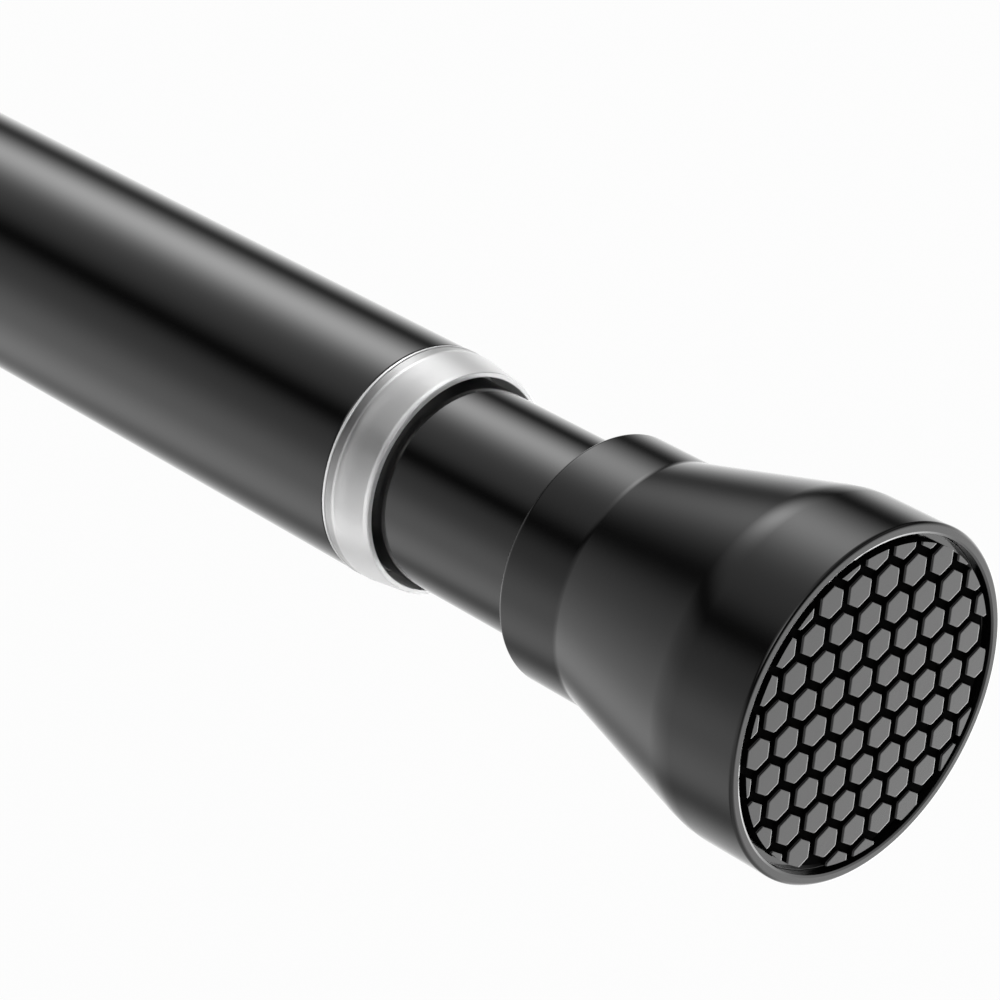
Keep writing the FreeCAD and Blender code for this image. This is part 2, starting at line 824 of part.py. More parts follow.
def make_tube_end_bush():
    """The bush in the inner tube's hidden end: the rod slides through its hexagonal bore."""
    body = new_body("tube_end_bush")
    flange = size("bush_flange_length")
    length = flange + size("bush_spigot_length")
    rim = inner_tube_radius - size("bush_flange_inset")
    first_bore = size("rod_thread_radius")
    revolve(body, "bush_blank", [
        (0, first_bore),
        (0, rim),
        (flange, rim),
        (flange, inner_tube_bore),
        (length, inner_tube_bore),
        (length, first_bore),
    ])
    soften(body, "bush_lead_in", "Chamfer", size("bush_chamfer"), [(length, inner_tube_bore)])
    key = hexagon(body, "bush_key", size("rod_across_flats") + size("bush_hex_play") * 2)
    cut_through(body, "bush_bore", key, length)
    place(body, bush_front)
    return body


def make_outer_rod():
    adhesive_back = outer_cap_front + size("cap_ledge_depth")
    return [
        make_tube("outer_tube", outer_tube_radius, outer_tube_bore,
                  size("outer_tube_length"), outer_tube_start),
        make_mouth_ring(),
        make_cap("outer_cap", outer_tube_radius, size("outer_cap_cavity_depth"),
                 outer_cap_front, about_face=True),
        make_plug("outer_tube_plug", outer_tube_bore, outer_tube_start, about_face=False),
        make_screw("outer_cap_screw", outer_cap_front + size("cap_web_depth"), about_face=False),
        make_adhesive("outer_pad_adhesive", adhesive_back, about_face=True),
        make_pad("outer_pad", adhesive_back - size("adhesive_thickness"), about_face=True),
    ]


def make_lock():
    thread_hole = size("rod_thread_radius") + size("washer_hole_play")
    corner_hole = size("rod_across_flats") * 2 * HALF_SIDE_SHARE + size("washer_hole_play")
    return [
        make_glide(),
        make_cam_core(),
        make_cam_collar(),
        make_push_rod(),
        make_nut("stop_nut", stop_nut_start),
        make_washer("stop_washer", size("washer_radius"), thread_hole, stop_washer_start),
        make_washer("spring_seat_washer", outer_tube_bore - size("seat_washer_play"), corner_hole,
                    seat_washer_start),
        make_spring(),
        make_washer("rod_end_washer", size("washer_radius"), thread_hole, end_washer_start),
        make_nut("rod_end_nut", end_nut_start),
    ]


def make_inner_rod():
    adhesive_back = inner_cap_front - size("cap_ledge_depth")
    return [
        make_tube("inner_tube", inner_tube_radius, inner_tube_bore,
                  inner_tube_length, inner_tube_start),
        make_tube_end_bush(),
        make_cap("inner_cap", inner_tube_radius, size("inner_cap_cavity_depth"),
                 inner_cap_front, about_face=False),
        make_plug("inner_tube_plug", inner_tube_bore, inner_tube_end, about_face=True),
        make_screw("inner_cap_screw", inner_cap_front - size("cap_web_depth"), about_face=True),
        make_adhesive("inner_pad_adhesive", adhesive_back, about_face=False),
        make_pad("inner_pad", adhesive_back + size("adhesive_thickness"), about_face=False),
    ]


def check_document():
    failed = [item.Name for item in document.Objects
              if "Invalid" in item.State or "Error" in item.State]
    if failed:
        raise ValueError(f"these objects failed: {failed}")


def write_parts(pieces):
    os.makedirs("parts", exist_ok=True)
    for piece in pieces:
        if piece.Shape.isNull() or not piece.Shape.isValid():
            raise ValueError(f"{piece.Label} has no valid shape")
    for piece in pieces:
        piece.Shape.exportStep(os.path.join("parts", f"{piece.Label}.step"))


all_pieces = make_outer_rod() + make_lock() + make_inner_rod()
document.recompute()
check_document()
write_parts(all_pieces)
for finished in all_pieces:
    box = finished.Shape.BoundBox
    print(f"{finished.Label}: {len(finished.Shape.Solids)} solid, x {box.XMin:.2f} to {box.XMax:.2f}")
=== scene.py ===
import json
import math

import bpy
from mathutils import Matrix, Vector


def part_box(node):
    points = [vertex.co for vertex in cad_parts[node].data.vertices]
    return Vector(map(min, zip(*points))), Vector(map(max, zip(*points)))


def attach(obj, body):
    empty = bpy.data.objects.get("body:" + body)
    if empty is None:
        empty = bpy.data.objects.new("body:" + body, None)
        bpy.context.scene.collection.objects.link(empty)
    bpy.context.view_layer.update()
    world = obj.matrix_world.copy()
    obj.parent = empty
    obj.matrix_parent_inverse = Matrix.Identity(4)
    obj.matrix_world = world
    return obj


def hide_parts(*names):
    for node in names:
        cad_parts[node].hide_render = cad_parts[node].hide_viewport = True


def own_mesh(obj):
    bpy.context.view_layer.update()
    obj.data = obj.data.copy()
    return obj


MM = 0.001

# Turned pieces: steps round the axis, the widest step round a corner, and the least round.
# Other meshes: the angle from which an edge is sharp, and the distance that welds two points.
TURN_STEPS = 192
ROUND_STEP = math.radians(11.25)
EDGE_ROUND = 0.06 * MM
SHARP_EDGE = math.radians(35)
WELD = 0.001 * MM

# The tubes, as drawn in the part's source.
TUBE_WALL = 0.8 * MM
TUBE_LIP_ROUND = 0.18 * MM

# The mouth ring: a sleeve in the tube and a head that shows. From the tube to the mouth, the head
# has a flange, a groove, a land that ends in a soft bulge, and a lip. The land is painted darker
# as painted shade, and a painted highlight band and a painted highlight line near the lip run
# round it.
RING_HEAD = 5.35 * MM
RING_LAND = 1.1 * MM
RING_RUNNING_PLAY = 0.08 * MM
RING_MOUTH_PLAY = 0.56 * MM
RING_LIP_HEIGHT = 1.06 * MM
RING_LIP_ROUND = 0.12 * MM
RING_BACK_ROUND = 0.1 * MM
RING_LINE_ROUND = 0.05 * MM
RING_FLANGE = 0.26 * MM
RING_GROOVE = 0.07 * MM
RING_BULGE = 0.35 * MM
RING_BULGE_DROP = 0.03 * MM
RING_BULGE_ROUND = 1.2 * MM
# Where a painted highlight band and a painted highlight line near the lip lie, and their widths.
RING_BAND_HIGHLIGHT = 1.8 * MM
RING_BAND_HIGHLIGHT_WIDTH = 0.5 * MM
RING_LIP_HIGHLIGHT = 4.95 * MM
RING_LIP_HIGHLIGHT_WIDTH = 0.16 * MM

# The ring's plastic: how much the painted shade on the land and the flow marks darken it, the
# tilts between which it turns from clear to milky, and how milky its painted highlights on the lip
# and the flange, and its painted highlight band, are at the least.
LAND_PAINTED_SHADE = 0.42
FLOW_DARKENING = 0.1
CLEAR_UP_TO = 0.24
MILKY_FROM = 0.52
HIGHLIGHT_MILK = 0.6
BAND_HIGHLIGHT_MILK = 0.12

# The rubber pads: raised hexagonal tiles on a thin disc, cut round at the edge. The tiles sink
# a little into the disc, and those whose middle lies too far out are left off.
PAD_BASE = 0.4 * MM
TILE_PITCH = 3.28 * MM
TILE_GROOVE = 0.66 * MM
TILE_CORNER_ROUND = 0.22 * MM
TILE_CORNER_STEPS = 3
TILE_EDGE_ROUND = 0.18 * MM
TILE_EDGE_STEPS = 4
TILE_ROW_TURN = math.radians(-6.42)
TILE_SHIFT_Y = 0.168 * MM
TILE_SHIFT_Z = -0.16 * MM
TILE_SINK = 0.05 * MM
TILE_LEAST_REACH = 0.62
HEXAGON_SIDES = 6
HALF_SIDE_SHARE = math.tan(math.pi / HEXAGON_SIDES) / 2

# The flared caps: a moulding open at the front, with a hub for the tube and ribs to the shell.
# Depths are measured back from the CAD rim's front.
CAP_RIM_FORWARD = 0.28 * MM
CAP_RIM_ROUND = 0.33 * MM
CAP_RIM_WALL = 1.0 * MM
CAP_RIM_BEVEL = 0.22 * MM
CAP_BEVEL_SLANT = math.radians(20)
CAP_RIM_TAPER = 0.02 * MM
CAP_RIM_LENGTH = 7.8 * MM
CAP_SHOULDER_ROUND = 10 * MM
CAP_CREASE_DEPTH = 23.9 * MM
CAP_CREASE_ROUND = 2.5 * MM
CAP_COLLAR_WALL = 2.15 * MM
CAP_COLLAR_ROUND = 0.5 * MM
CAP_LEDGE_DEPTH = 0.8 * MM
CAP_SHELL_WALL = 1.9 * MM
CAP_SOCKET_PLAY = 0.05 * MM
CAP_HUB_WALL = 1.4 * MM
CAP_WEB_DEPTH = 6 * MM
CAP_WEB = 2 * MM
CAP_BOSS_BORE = 3.6 * MM
CAP_BOSS_WALL = 1.2 * MM
CAP_SCREW_HOLE = 1.9 * MM
CAP_RIB = 1.2 * MM
CAP_RIB_BITE = 0.3 * MM
CAP_RIBS = 8
CAP_SPOKES = 4
CAP_RIB_STATIONS = 12
CAP_CAVITY_AT_INNER_TUBE = 16 * MM
CAP_CAVITY_AT_OUTER_TUBE = 11 * MM

# The compression spring: half of its closed turns at either end, and the open ones between them.
# Its length leaves it just clear of the bush that presses on it.
SPRING_WIRE = 0.7 * MM
SPRING_MEAN = 6.2 * MM
SPRING_OPEN_TURNS = 10
SPRING_CLOSED_TURNS = 2
SPRING_START = 60 * MM
SPRING_REST = 47.98 * MM
SPRING_PITCH_CHANGE = 0.25
SPRING_CLOSED_GAP = 0.1 * MM
SPRING_POINTS_PER_TURN = 40
SPRING_WIRE_SIDES = 14
SPRING_END_SIDES = 24

# The camera: its place from the middle of the near cap's front, the way it looks, its lens and
# how far it sees.
CAMERA_STAND = Vector((175.508, -204.731, 175.347)) * MM
CAMERA_LOOK = Vector((-0.62993, 0.59095, -0.50396))
CAMERA_LENS = 144.44
CAMERA_REACH = 20.0

# The floor lies well under the rod, and shows the camera mostly its own plain white.
FLOOR_DROP = 0.4
FLOOR_REACH = 4.0
FLOOR_GREY = 0.9
FLOOR_WHITE = 0.94

# The studio: an even surround with strip lights and dark gaps between them. Each strip runs
# round a great circle, given by the direction square to it, with its width and its strength.
SURROUND = 0.66
DARK_STRIPS = [
    ((0.313, 0.455, 0.834), 0.193, 0.95),
    ((-0.143, -0.306, 0.941), 0.246, 1.0),
    ((0.59, 0.54, -0.6), 0.166, 0.977),
]
LOW_STRIP = ((0.225, 0.206, -0.952), 0.521, 1.36)
LOW_STRIP_EDGE = 0.3

# The key strip is bright only about its height. The panel, the card and the dark end are patches
# about a direction, each with the spread over which it falls off.
KEY_STRIP = ((-0.59, -0.797, -0.129), 0.22, 3.74)
KEY_HEIGHT = 0.627
KEY_SPREAD = 0.197
PANEL_SIDE = Vector((0.63, 0.59, -0.5))
PANEL_SPREAD = 0.15
PANEL_GLOW = 2.2
CARD_SIDE = Vector((0, 0.78, -0.62))
CARD_SPREAD = 0.1
CARD_GLOW = 5.0
DARK_END = Vector((0.971, -0.157, 0.178))
DARK_END_SPREAD = 0.16

# The Mix node names its colour sockets as it names the others, so they go by their places.
MIX_COLOUR_A = 6
MIX_COLOUR_B = 7
MIX_COLOUR_RESULT = 2


class Wire:
    """One output of a node. Sums written with wires add the nodes that work them out."""

    def __init__(self, graph, socket):
        self.graph = graph
        self.socket = socket

    def maths(self, operation, *terms):
        return self.graph.node("ShaderNodeMath", {"operation": operation}, dict(enumerate(terms)))

    def __add__(self, other):
        return self.maths("ADD", self, other)

    def __radd__(self, other):
        return self.maths("ADD", other, self)

    def __sub__(self, other):
        return self.maths("SUBTRACT", self, other)

    def __rsub__(self, other):
        return self.maths("SUBTRACT", other, self)

    def __mul__(self, other):
        return self.maths("MULTIPLY", self, other)

    def __rmul__(self, other):
        return self.maths("MULTIPLY", other, self)

    def __truediv__(self, other):
        return self.maths("DIVIDE", self, other)

    def __rtruediv__(self, other):
        return self.maths("DIVIDE", other, self)

    def most(self, other):
        return self.maths("MAXIMUM", self, other)

    def bell(self, width):
        """1 where the value is 0, falling off smoothly over the width."""
        share = self / width
        return self.maths("EXPONENT", share * share * -1.0)

    def ramp(self, low, high):
        """0 below low and 1 above high, with a smooth change between them."""
        return self.graph.node("ShaderNodeMapRange", {"interpolation_type": "SMOOTHSTEP"},
                               {"Value": self, "From Min": low, "From Max": high})


class Graph:
    """A node tree while it is wired up."""

    def __init__(self, tree):
        self.tree = tree

    def node(self, kind, settings=None, sockets=None, output=0):
        made = self.tree.nodes.new(kind)
        for name, value in (settings or {}).items():
            setattr(made, name, value)
        for key, value in (sockets or {}).items():
            self.feed(made.inputs[key], value)
        return Wire(self, made.outputs[output]) if made.outputs else None

    def feed(self, socket, value):
        if isinstance(value, Wire):
            self.tree.links.new(value.socket, socket)
        elif isinstance(value, list):
            for wire in value:
                self.tree.links.new(wire.socket, socket)
        else:
            socket.default_value = value

    def vector(self, operation, *terms, output=0):
        return self.node("ShaderNodeVectorMath", {"operation": operation},
                         dict(enumerate(terms)), output)

    def beside(self, wire, output):
        """Another output of the node that a wire comes from."""
        return Wire(self, wire.socket.node.outputs[output])

    def apart(self, vector):
        first = self.node("ShaderNodeSeparateXYZ", None, {"Vector": vector})
        return [self.beside(first, name) for name in ("X", "Y", "Z")]

    def dot(self, first, second):
        return self.vector("DOT_PRODUCT", first, second, output="Value")

    def seen(self):
        """1 for the camera's rays, and for those that the ring's clear plastic lets through."""
        return self.node("ShaderNodeLightPath", output="Is Camera Ray").most(
            self.node("ShaderNodeLightPath", output="Is Transmission Ray"))

    def blend(self, amount, first, second):
        """A mix of two colours by an amount."""
        return self.node("ShaderNodeMix", {"data_type": "RGBA"}, {
            "Factor": amount, MIX_COLOUR_A: first, MIX_COLOUR_B: second}, MIX_COLOUR_RESULT)


class Finish(Graph):
    """A material with one surface shader, whose plain colour and roughness its nodes may vary."""

    def __init__(self, name, colour, roughness, **constants):
        self.material = bpy.data.materials.new(name)
        self.material.use_nodes = True
        super().__init__(self.material.node_tree)
        self.surface = self.tree.nodes["Principled BSDF"]
        self.set("Base Color", colour + (1,))
        self.set("Roughness", roughness)
        for socket, value in constants.items():
            self.set(socket.replace("_", " "), value)
        self.place = self.node("ShaderNodeTexCoord", output="Object")

    def set(self, socket, value):
        self.feed(self.surface.inputs[socket], value)

    def noise(self, grain, detail=2.0, place=None):
        """Soft blotches of about the given size, from 0 to 1."""
        return self.node("ShaderNodeTexNoise", None, {
            "Vector": place or self.place, "Scale": 1 / grain, "Detail": detail})

    def stretched(self, length, width):
        """Object coordinates drawn out along the rod, for marks that run along it."""
        return self.vector("MULTIPLY", self.place, (width / length, 1, 1))

    def relief(self, height, depth):
        """Raise the surface by a small height that varies from 0 to 1."""
        bump = self.node("ShaderNodeBump", None, {"Height": height, "Distance": depth})
        self.set("Normal", bump)


def grey(level):
    return (level, level, level)


def make_tube_coating():
    finish = Finish("gloss_black_coating", grey(0.0025), 0.1, IOR=1.5)
    pool = finish.noise(6 * MM)
    finish.set("Roughness", 0.07 + pool * 0.03)
    finish.relief(finish.noise(1.4 * MM), 0.0005 * MM)
    return finish.material


def make_cap_plastic():
    finish = Finish("moulded_black_plastic", grey(0.0028), 0.12, IOR=1.43)
    cloud = finish.noise(4 * MM)
    grain = finish.noise(0.25 * MM, 3.0)
    finish.set("Roughness", 0.09 + cloud * 0.03 + grain * 0.02)
    finish.relief(grain, 0.0003 * MM)
    return finish.material


def make_pad_rubber():
    finish = Finish("tile_rubber", grey(0.003), 0.2, IOR=1.44)
    grain = finish.noise(0.18 * MM, 4.0)
    bloom = finish.noise(2.2 * MM)
    finish.set("Base Color", finish.blend(bloom, grey(0.002) + (1,), grey(0.0045) + (1,)))
    finish.set("Roughness", 0.14 + grain * 0.06)
    finish.relief(grain, 0.001 * MM)
    return finish.material


def make_painted_groove_shade():
    """Painted shade on the rubber of the tiles' walls and between them: darker and almost
    without gloss.
    """
    finish = Finish("groove_rubber", grey(0.001), 0.9, Specular_IOR_Level=0.03)
    grain = finish.noise(0.2 * MM, 4.0)
    finish.set("Roughness", 0.8 + grain * 0.2)
    finish.relief(grain, 0.01 * MM)
    return finish.material


def make_clear_ring():
    """Milky clear plastic, which lets one look in where it faces the eye and whitens at its sides.

    The land is painted darker, as painted shade standing for the tube's dark edge seen through it,
    and a painted highlight runs along the lip and the flange. The share of metal stands for the
    light that the ring's inner faces throw back.
    """
    finish = Finish("milky_clear_plastic", grey(0.95), 0.3, IOR=1.49,
                    Transmission_Weight=0.95)
    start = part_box("mouth_ring")[1].x - RING_HEAD
    along = finish.apart(finish.place)[0] - start
    # The land's mask, which darkens its colour as painted shade.
    land = along.ramp(RING_FLANGE, RING_FLANGE + RING_GROOVE)
    land = land * (1 - along.ramp(RING_LAND - RING_GROOVE, RING_LAND + RING_BULGE))
    # Painted highlights along the lip and the flange, which raise the metal share and the
    # milkiness.
    lip_highlight = ((along - RING_LIP_HIGHLIGHT) / RING_LIP_HIGHLIGHT_WIDTH).bell(1.0)
    flange = 1 - along.ramp(RING_FLANGE, RING_FLANGE + RING_GROOVE)
    painted_highlights = lip_highlight.most(flange)
    flow = finish.noise(0.45 * MM, 3.0, finish.stretched(0.45 * MM, 9 * MM))
    # The colour darkens on the land as painted shade, and along the flow marks.
    shade = 1 - land * LAND_PAINTED_SHADE - flow * FLOW_DARKENING
    tint = finish.blend(shade, grey(0.0) + (1,), grey(1.0) + (1,))
    haze = finish.noise(1.6 * MM)
    finish.set("Base Color", tint)
    finish.set("Metallic", 0.26 + painted_highlights * 0.3)
    finish.set("Roughness", 0.26 + haze * 0.08)
    milk = finish.node("ShaderNodeBsdfPrincipled", None, {
        "Base Color": tint, "Metallic": 0.25, "Roughness": 0.25,
        "Sheen Weight": 0.5, "Sheen Roughness": 0.5})
    turned_away = finish.node("ShaderNodeLayerWeight", None, {"Blend": 0.5}, "Facing")
    # A painted highlight band just past the bulge, which is made milkier.
    band_highlight = ((along - RING_BAND_HIGHLIGHT) / RING_BAND_HIGHLIGHT_WIDTH).bell(1.0)
    milkiness = turned_away.ramp(CLEAR_UP_TO, MILKY_FROM).most(painted_highlights * HIGHLIGHT_MILK)
    milkiness = milkiness + band_highlight * BAND_HIGHLIGHT_MILK
    leave = finish.tree.nodes["Material Output"]
    finish.feed(leave.inputs["Surface"], finish.node("ShaderNodeMixShader", None, {
        0: milkiness, 1: Wire(finish, finish.surface.outputs["BSDF"]), 2: milk}))
    return finish.material


def make_plug_plastic():
    finish = Finish("dark_plug_plastic", grey(0.035), 0.5)
    grain = finish.noise(0.3 * MM, 3.0)
    finish.set("Roughness", 0.45 + grain * 0.15)
    finish.relief(grain, 0.006 * MM)
    return finish.material


def make_lock_plastic():
    finish = Finish("natural_nylon", (0.72, 0.7, 0.64), 0.4, Subsurface_Weight=0.15)
    finish.surface.inputs["Subsurface Radius"].default_value = (0.6 * MM, 0.5 * MM, 0.4 * MM)
    cloud = finish.noise(3 * MM)
    finish.set("Base Color", finish.blend(cloud, (0.74, 0.72, 0.66, 1), (0.66, 0.64, 0.57, 1)))
    finish.set("Roughness", 0.36 + cloud * 0.1)
    finish.relief(finish.noise(0.4 * MM), 0.004 * MM)
    return finish.material


def make_core_plastic():
    finish = Finish("dark_cam_plastic", grey(0.03), 0.35)
    finish.set("Roughness", 0.3 + finish.noise(1.2 * MM, 3.0) * 0.15)
    finish.relief(finish.noise(0.35 * MM), 0.004 * MM)
    return finish.material


def make_rod_steel():
    finish = Finish("drawn_steel", grey(0.55), 0.25, Metallic=1.0)
    draw_lines = finish.noise(0.12 * MM, 3.0, finish.stretched(8 * MM, 0.12 * MM))
    finish.set("Roughness", 0.18 + draw_lines * 0.16)
    finish.set("Base Color", finish.blend(draw_lines, grey(0.58) + (1,), grey(0.47) + (1,)))
    finish.relief(draw_lines, 0.004 * MM)
    return finish.material


def make_plated_steel():
    finish = Finish("zinc_plate", (0.66, 0.67, 0.69), 0.3, Metallic=1.0)
    spangle = finish.noise(0.9 * MM, 3.0)
    finish.set("Base Color", finish.blend(spangle, (0.7, 0.71, 0.74, 1), (0.58, 0.6, 0.62, 1)))
    finish.set("Roughness", 0.24 + spangle * 0.16)
    finish.relief(finish.noise(0.3 * MM), 0.004 * MM)
    return finish.material


def make_spring_steel():
    finish = Finish("oiled_spring_wire", grey(0.24), 0.35, Metallic=1.0)
    oil = finish.noise(2.5 * MM)
    scale = finish.noise(0.25 * MM, 3.0)
    finish.set("Base Color", finish.blend(oil, grey(0.3) + (1,), (0.17, 0.165, 0.16, 1)))
    finish.set("Roughness", 0.26 + scale * 0.2)
    finish.relief(scale, 0.004 * MM)
    return finish.material


def make_adhesive_film():
    finish = Finish("adhesive_film_backing", (0.7, 0.68, 0.6), 0.45)
    cloud = finish.noise(1.5 * MM, 3.0)
    finish.set("Base Color", finish.blend(cloud, (0.72, 0.7, 0.62, 1), (0.6, 0.58, 0.49, 1)))
    finish.set("Roughness", 0.4 + cloud * 0.15)
    return finish.material


def make_finishes():
    """Every material slot of the record, with its material."""
    return {
        "tube_coating": make_tube_coating(),
        "cap_plastic": make_cap_plastic(),
        "pad_rubber": make_pad_rubber(),
        "clear_ring": make_clear_ring(),
        "plug_plastic": make_plug_plastic(),
        "lock_plastic": make_lock_plastic(),
        "core_plastic": make_core_plastic(),
        "rod_steel": make_rod_steel(),
        "plated_steel": make_plated_steel(),
        "spring_steel": make_spring_steel(),
        "adhesive_film": make_adhesive_film(),
    }


def rounded_outline(corners):
    """Points and outward directions round a closed outline of (along, radius, round) corners.

    The corners go round with the solid on their left, so that directions point out of it.
    """
    places = [Vector((along, radius)) for along, radius, _ in corners]
    points = []
    for index, corner in enumerate(places):
        arriving = (corner - places[index - 1]).normalized()
        leaving = (places[(index + 1) % len(places)] - corner).normalized()
        turn = arriving.angle_signed(leaving)
        amount = corners[index][2]
        back_off = abs(amount * math.tan(turn / 2))
        steps = max(1, math.ceil(abs(turn) / ROUND_STEP))
        first = corner - arriving * back_off
        side = Vector((arriving.y, -arriving.x))
        bulge = -amount if turn > 0 else amount
        centre = first - side * bulge
        for step in range(steps + 1):
            outward = Matrix.Rotation(-turn * step / steps, 2) @ side
            points.append((centre + outward * bulge, outward))
    return points


def turned(name, corners, start=0.0, facing=1):
    """A piece turned about the rod's axis from a closed outline."""
    outline = rounded_outline(corners)
    count = len(outline)
    vertices = []
    normals = []
    for step in range(TURN_STEPS):
        angle = 2 * math.pi * step / TURN_STEPS
        up, across = math.cos(angle), math.sin(angle) * facing
        for place, outward in outline:
            vertices.append((start + place.x * facing, place.y * across, place.y * up))
            normals.append((outward.x * facing, outward.y * across, outward.y * up))
    faces = []
    for step in range(TURN_STEPS):
        near, far = step * count, (step + 1) % TURN_STEPS * count
        for index in range(count):
            following = (index + 1) % count
            faces.append((near + index, far + index, far + following, near + following))
    mesh = bpy.data.meshes.new(name)
    mesh.from_pydata(vertices, [], faces)
    mesh.polygons.foreach_set("use_smooth", [True] * len(faces))
    mesh.normals_split_custom_set_from_vertices(normals)
    piece = bpy.data.objects.new(name, mesh)
    bpy.context.scene.collection.objects.link(piece)
    return piece


def finish_piece(piece, body, slot, *nodes):
    """Give a new piece its material and the body it moves with, and hide the CAD nodes that it
    stands for.
    """
    if not piece.data.materials:
        piece.data.materials.append(finishes[slot])
    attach(piece, body)
    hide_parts(*nodes)


def make_tube(name, node, body):
    low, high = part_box(node)
    radius = high.z
    bore = radius - TUBE_WALL
    piece = turned(name, [
        (low.x, bore, TUBE_LIP_ROUND),
        (high.x, bore, TUBE_LIP_ROUND),
        (high.x, radius, TUBE_LIP_ROUND),
        (low.x, radius, TUBE_LIP_ROUND),
    ])
    finish_piece(piece, body, "tube_coating", node)


def make_mouth_ring():
    low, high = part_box("mouth_ring")
    shoulder = high.x - RING_HEAD
    land = shoulder + RING_LAND
    outside = high.z
    sleeve = outside - TUBE_WALL
    inner_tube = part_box("inner_tube")[1].z
    running = inner_tube + RING_RUNNING_PLAY
    mouth = inner_tube + RING_MOUTH_PLAY
    lip = inner_tube + RING_LIP_HEIGHT
    piece = turned("clear_mouth_ring", [
        (low.x, running, EDGE_ROUND),
        (land, running, EDGE_ROUND),
        (land, mouth, EDGE_ROUND),
        (high.x, mouth, RING_LIP_ROUND),
        (high.x, lip, RING_LIP_ROUND),
        (land + RING_BULGE, outside - RING_BULGE_DROP, RING_BULGE_ROUND),
        (land, outside - RING_GROOVE, RING_GROOVE),
        (shoulder + RING_FLANGE + RING_GROOVE, outside - RING_GROOVE, RING_LINE_ROUND),
        (shoulder + RING_FLANGE, outside, RING_LINE_ROUND),
        (shoulder, outside, RING_BACK_ROUND),
        (shoulder, sleeve, EDGE_ROUND),
        (low.x, sleeve, EDGE_ROUND),
    ])
    finish_piece(piece, "outer_rod", "clear_ring", "mouth_ring")


def make_cap(name, node, body, tube, cavity, facing):
    """A flared cap, whose hub holds the tube's end and whose rim stands round the pad."""
    low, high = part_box(node)
    tube_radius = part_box(tube)[1].z
    start = high.x if facing > 0 else low.x
    rim = high.z
    recess = rim - CAP_RIM_WALL
    bevel_drop = CAP_RIM_BEVEL * math.tan(CAP_BEVEL_SLANT)
    rim_inside = rim - CAP_SHELL_WALL
    grip = tube_radius + CAP_COLLAR_WALL
    socket = tube_radius + CAP_SOCKET_PLAY
    hub = socket + CAP_HUB_WALL
    boss = CAP_BOSS_BORE + CAP_BOSS_WALL
    flare = (rim - grip) / (CAP_CREASE_DEPTH - CAP_RIM_LENGTH)
    hollow = grip + flare * (CAP_CREASE_DEPTH - cavity) - CAP_SHELL_WALL
    seat = CAP_WEB_DEPTH + CAP_WEB
    shell = turned(name, [
        (low.x - high.x, socket, EDGE_ROUND),
        (-seat, socket, EDGE_ROUND),
        (-seat, CAP_SCREW_HOLE, EDGE_ROUND),
        (-CAP_WEB_DEPTH, CAP_SCREW_HOLE, EDGE_ROUND),
        (-CAP_WEB_DEPTH, CAP_BOSS_BORE, EDGE_ROUND),
        (-CAP_LEDGE_DEPTH, CAP_BOSS_BORE, EDGE_ROUND),
        (-CAP_LEDGE_DEPTH, boss, EDGE_ROUND),
        (-CAP_WEB_DEPTH, boss, EDGE_ROUND),
        (-CAP_WEB_DEPTH, socket, EDGE_ROUND),
        (-CAP_LEDGE_DEPTH, socket, EDGE_ROUND),
        (-CAP_LEDGE_DEPTH, hub, EDGE_ROUND),
        (-cavity, hub, EDGE_ROUND),
        (-cavity, hollow, EDGE_ROUND),
        (-CAP_RIM_LENGTH, rim_inside, EDGE_ROUND),
        (-CAP_LEDGE_DEPTH, rim_inside, EDGE_ROUND),
        (-CAP_LEDGE_DEPTH, recess, EDGE_ROUND),
        (CAP_RIM_FORWARD - bevel_drop, recess, EDGE_ROUND),
        (CAP_RIM_FORWARD, recess + CAP_RIM_BEVEL, EDGE_ROUND),
        (CAP_RIM_FORWARD, rim, CAP_RIM_ROUND),
        (-CAP_RIM_LENGTH, rim - CAP_RIM_TAPER, CAP_SHOULDER_ROUND),
        (-CAP_CREASE_DEPTH, grip, CAP_CREASE_ROUND),
        (low.x - high.x, grip, CAP_COLLAR_ROUND),
    ], start, facing)
    finish_piece(shell, body, "cap_plastic", node)
    ribs = upright_ribs(
        name + "_ribs", start, facing,
        ribs=CAP_RIBS,
        thickness=CAP_RIB,
        front_depth=CAP_LEDGE_DEPTH,
        rear_depth=cavity + CAP_RIB_BITE,
        inner_edge=hub - CAP_RIB_BITE,
        outer_edge=rim_inside + CAP_RIB_BITE,
        flare_depth=CAP_RIM_LENGTH,
        flare=(rim_inside - hollow) / (cavity - CAP_RIM_LENGTH),
    )
    finish_piece(ribs, body, "cap_plastic", node)
    spokes = upright_ribs(
        name + "_spokes", start, facing,
        ribs=CAP_SPOKES,
        thickness=CAP_RIB,
        front_depth=CAP_LEDGE_DEPTH,
        rear_depth=CAP_WEB_DEPTH + CAP_RIB_BITE,
        inner_edge=boss - CAP_RIB_BITE,
        outer_edge=socket + CAP_RIB_BITE,
        flare_depth=0.0,
        flare=0.0,
    )
    finish_piece(spokes, body, "cap_plastic", node)


